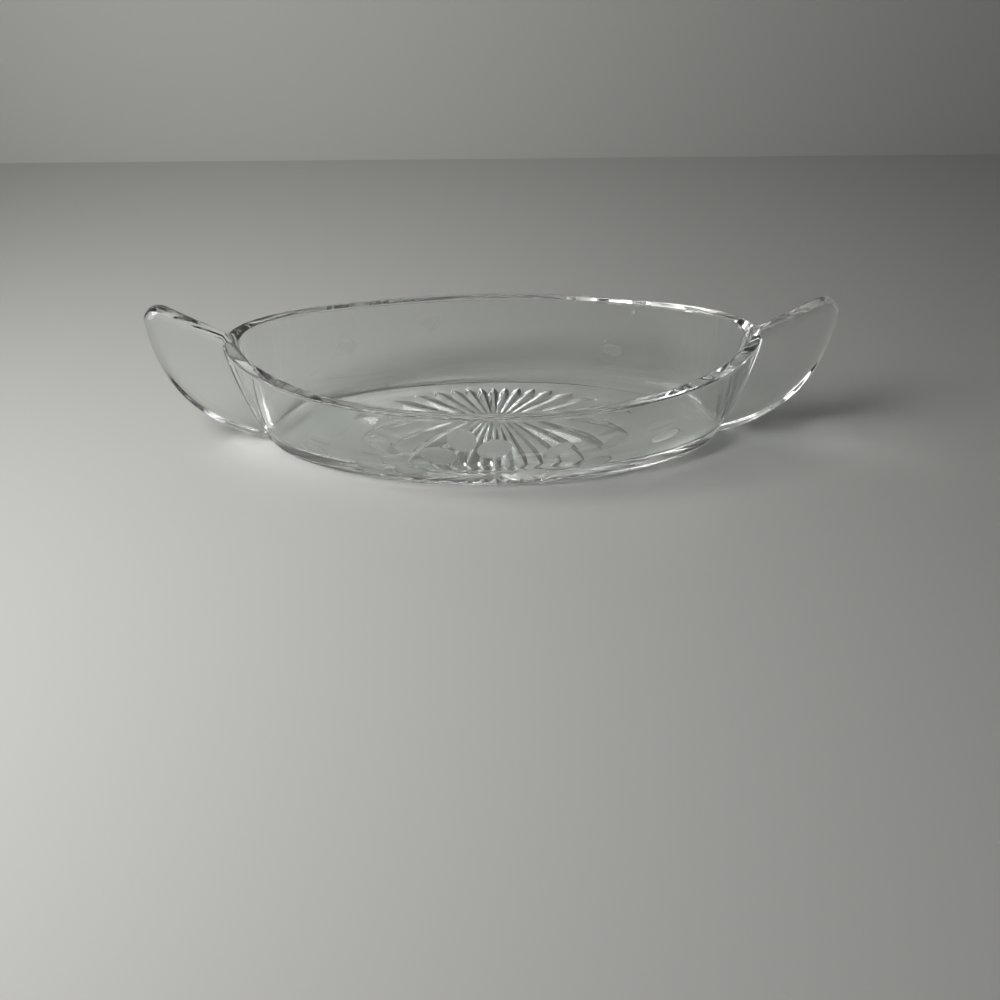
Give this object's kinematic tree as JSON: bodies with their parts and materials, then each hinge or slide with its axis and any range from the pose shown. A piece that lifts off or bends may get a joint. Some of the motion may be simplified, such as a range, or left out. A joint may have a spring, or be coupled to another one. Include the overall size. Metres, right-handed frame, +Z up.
{
  "type": "boat-shaped relish dish",
  "caption": "Boat-shaped clear pressed-glass relish dish with a star-pressed base, a cut flower spray on each side and an upright flat handle at each end.",
  "frame": {"origin": "middle of the dish on the table it stands on", "axes": "+X along the dish from the left handle to the right one as pictured, +Y across it away from the picture's camera, +Z up"},
  "size_m": [0.23, 0.084, 0.0515],
  "materials": {
    "clear_glass": "fire-polished clear pressed glass, grey unpolished cutting on the outside"
  },
  "bodies": {
    "root": {"bowl": "clear_glass", "left_handle": "clear_glass", "right_handle": "clear_glass"}
  },
  "joints": []
}
